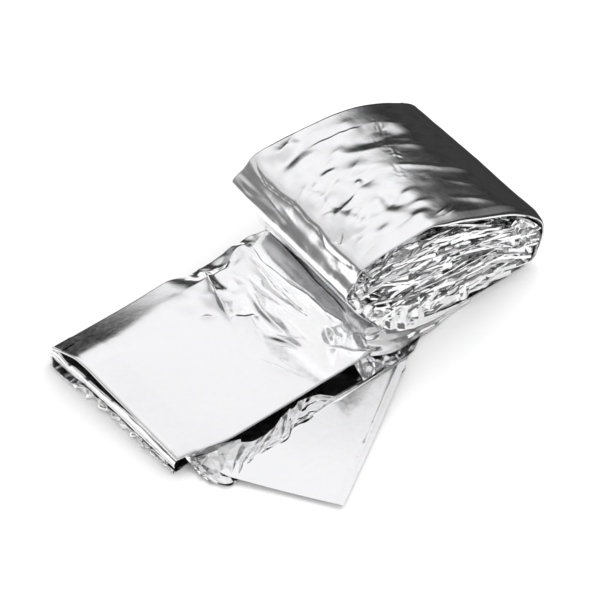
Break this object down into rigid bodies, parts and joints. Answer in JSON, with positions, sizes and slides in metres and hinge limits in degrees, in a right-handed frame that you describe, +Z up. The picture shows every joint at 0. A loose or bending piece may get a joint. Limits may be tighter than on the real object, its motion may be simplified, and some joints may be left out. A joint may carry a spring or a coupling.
{
  "type": "emergency foil blanket",
  "caption": "Silver metallised film blanket, folded into a long band and wound into a loose flat roll, its loose end laid out and its lowest ply fanned to one side.",
  "frame": {"origin": "centre of the bounding box, on the surface that the blanket lies on", "axes": "+X along the band from its loose end to the roll, +Y across the band away from the fanned-out ply, +Z up"},
  "size_m": [0.2382, 0.17, 0.069],
  "materials": {
    "foil": "mirror-bright metallised film, finely creased"
  },
  "bodies": {
    "root": {"foil_blanket": "foil"}
  },
  "joints": []
}
